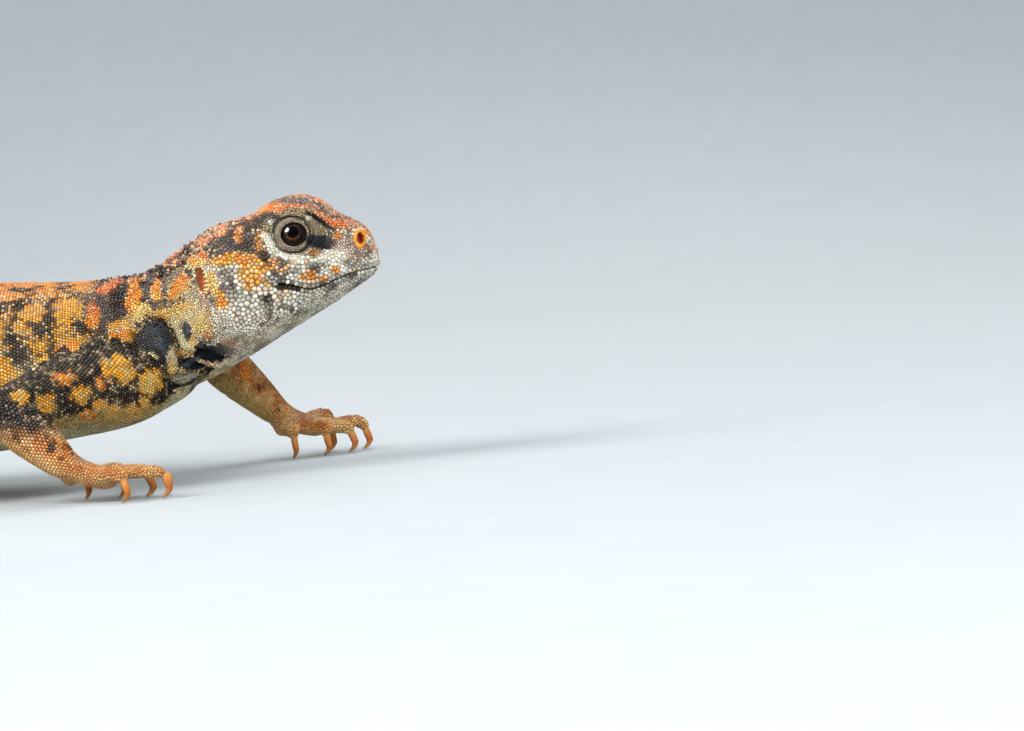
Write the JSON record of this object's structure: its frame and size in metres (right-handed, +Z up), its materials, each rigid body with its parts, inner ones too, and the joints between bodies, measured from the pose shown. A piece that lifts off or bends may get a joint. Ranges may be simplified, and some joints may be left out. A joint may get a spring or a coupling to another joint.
{
  "type": "lizard figure",
  "caption": "Life-size spiny-tailed lizard (uromastyx) standing with its head raised and its left foreleg stepped forward; a still display model",
  "frame": {"origin": "the middle of the bounding box, on the floor that the feet, the belly's low point and the tail rest on", "axes": "+X towards the snout, +Y towards the animal's left, +Z up"},
  "size_m": [0.3646, 0.1666, 0.0591],
  "materials": {
    "head_skin": "dry scaly skin, mottled orange, white and grey",
    "neck_skin": "dry scaly skin, yellow, orange and grey",
    "torso_skin": "dry scaly skin, near black with orange-yellow patches",
    "tail_skin": "keeled spiny scales in whorls, brown and tan",
    "leg_skin": "dry scaly skin, tan-orange",
    "foot_skin": "dry scaly skin, orange-tan",
    "eye": "wet, glossy",
    "claw": "smooth horn"
  },
  "bodies": {
    "root": {"claw_forefoot_left_1": "claw", "claw_forefoot_left_2": "claw", "claw_forefoot_left_3": "claw", "claw_forefoot_left_4": "claw", "claw_forefoot_left_5": "claw", "claw_forefoot_right_1": "claw", "claw_forefoot_right_2": "claw", "claw_forefoot_right_3": "claw", "claw_forefoot_right_4": "claw", "claw_forefoot_right_5": "claw", "claw_hindfoot_left_1": "claw", "claw_hindfoot_left_2": "claw", "claw_hindfoot_left_3": "claw", "claw_hindfoot_left_4": "claw", "claw_hindfoot_left_5": "claw", "claw_hindfoot_right_1": "claw", "claw_hindfoot_right_2": "claw", "claw_hindfoot_right_3": "claw", "claw_hindfoot_right_4": "claw", "claw_hindfoot_right_5": "claw", "eye_left": "eye", "eye_right": "eye", "forefoot_left": "foot_skin", "forefoot_right": "foot_skin", "foreleg_left_lower": "leg_skin", "foreleg_left_upper": "leg_skin", "foreleg_right_lower": "leg_skin", "foreleg_right_upper": "leg_skin", "head": "head_skin", "hindfoot_left": "foot_skin", "hindfoot_right": "foot_skin", "hindleg_left_shank": "leg_skin", "hindleg_left_thigh": "leg_skin", "hindleg_right_shank": "leg_skin", "hindleg_right_thigh": "leg_skin", "neck": "neck_skin", "tail_1": "tail_skin", "tail_2": "tail_skin", "tail_3": "tail_skin", "torso": "torso_skin"}
  },
  "joints": []
}
